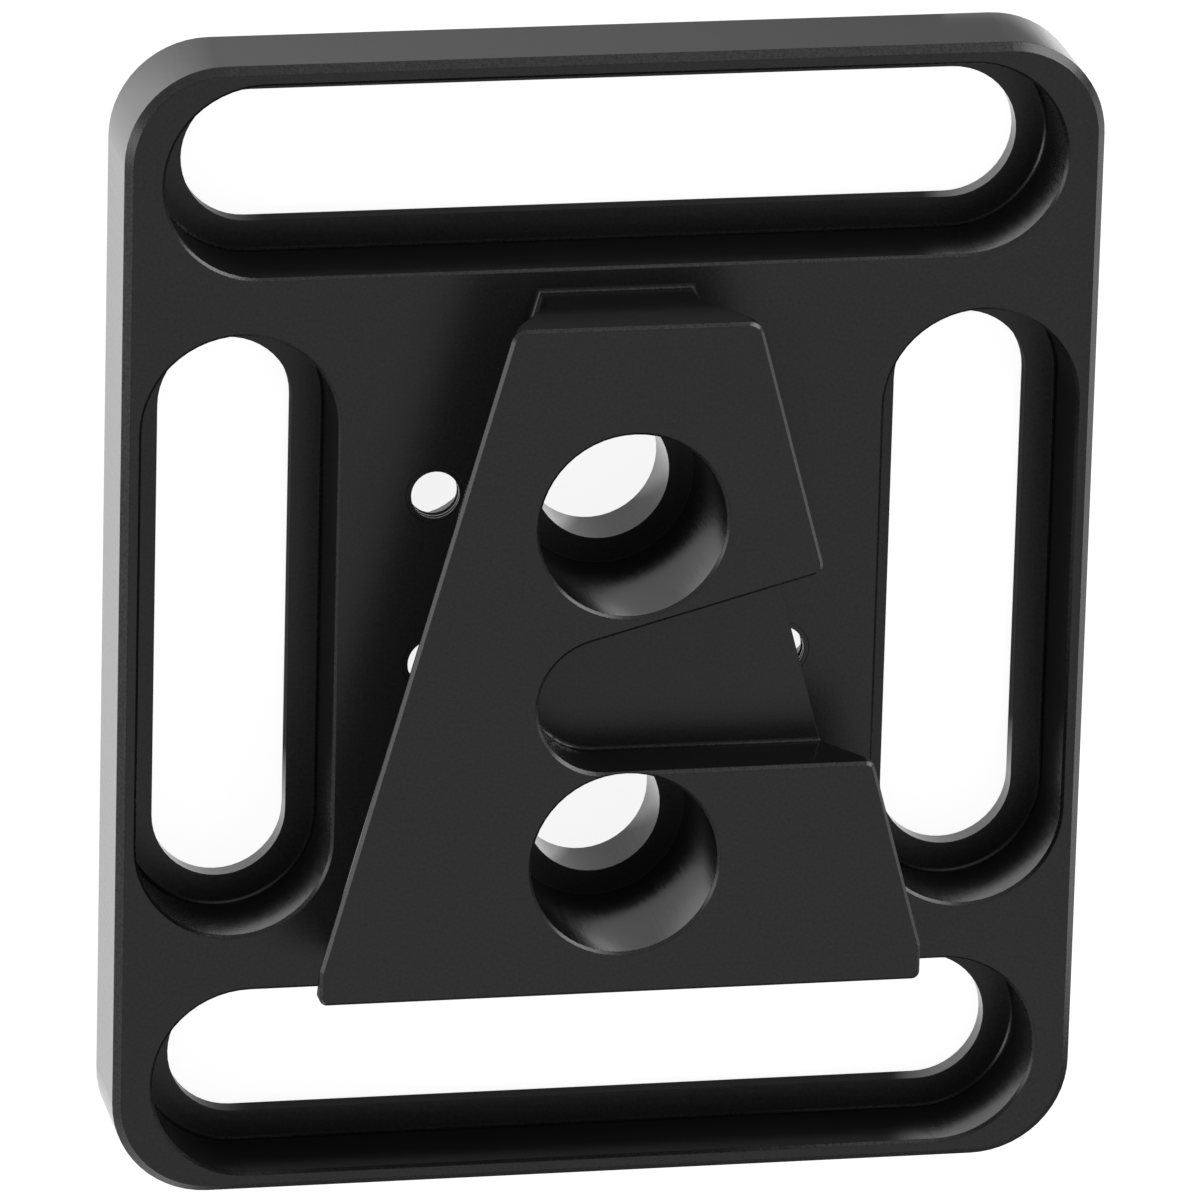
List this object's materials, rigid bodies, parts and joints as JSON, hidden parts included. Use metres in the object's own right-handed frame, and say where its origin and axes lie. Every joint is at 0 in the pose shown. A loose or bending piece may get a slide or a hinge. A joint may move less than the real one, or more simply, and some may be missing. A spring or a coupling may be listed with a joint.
{
  "type": "v-mount wedge plate",
  "caption": "Black anodised aluminium plate with counterbored slots along its edges and a tapered dovetail wedge with a latch notch, for hanging a device on a V-lock battery mount.",
  "frame": {"origin": "middle of the plate's flat back, which lies on the surface", "axes": "+Z out of the wedge's front face, +Y along the wedge towards its narrow end, +X towards the side that the latch notch opens to"},
  "size_m": [0.05, 0.06, 0.012],
  "materials": {
    "black_anodised": "satin black anodised, fine bead blast"
  },
  "bodies": {
    "root": {"wedge_plate": "black_anodised"}
  },
  "joints": []
}
